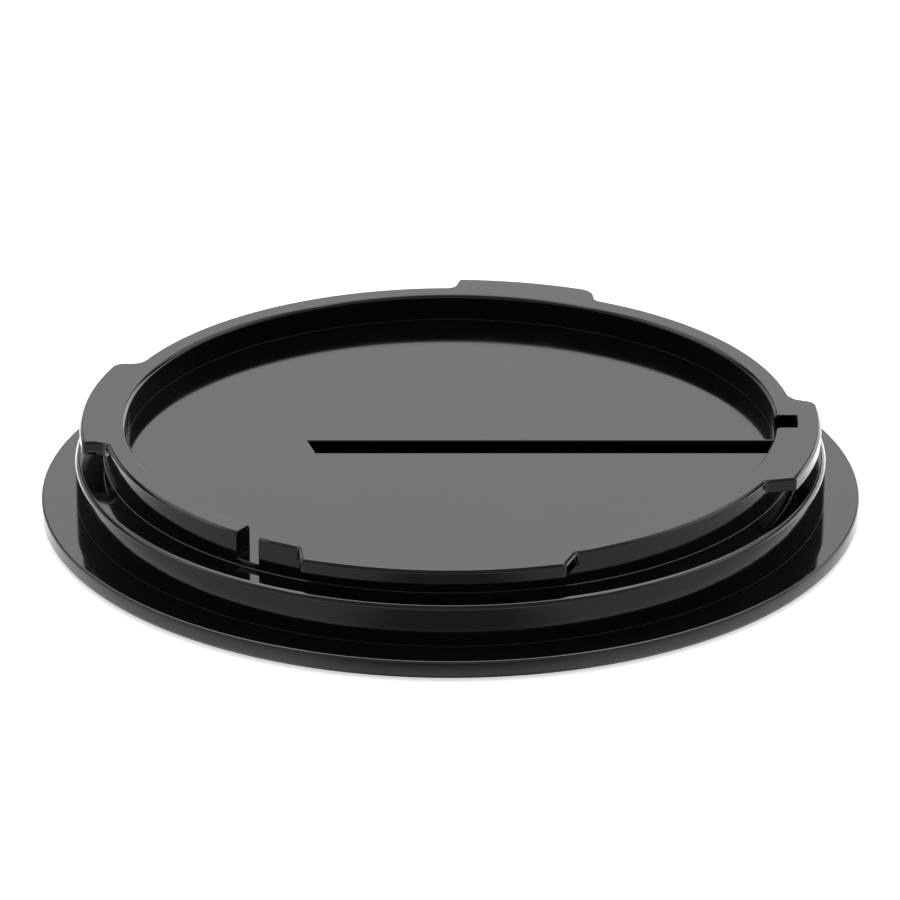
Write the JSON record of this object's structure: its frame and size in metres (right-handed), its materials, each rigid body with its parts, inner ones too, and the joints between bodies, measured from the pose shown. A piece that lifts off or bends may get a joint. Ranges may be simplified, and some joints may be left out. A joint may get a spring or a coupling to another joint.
{
  "type": "camera body cap",
  "caption": "Round bayonet cap that closes a camera body's lens mount, with a lugged ring inside and a finned grip outside.",
  "frame": {"origin": "centre of the outer face, on the plane that the cap lies on", "axes": "+Z along the mount axis, out of the cap towards the inside of the camera; +X along the grip fin, towards the end where it meets the ring"},
  "size_m": [0.084, 0.084, 0.0098],
  "materials": {
    "gloss_black_abs": "polished black mould finish, mirror-like on the flats"
  },
  "bodies": {
    "root": {"body_cap": "gloss_black_abs"}
  },
  "joints": []
}
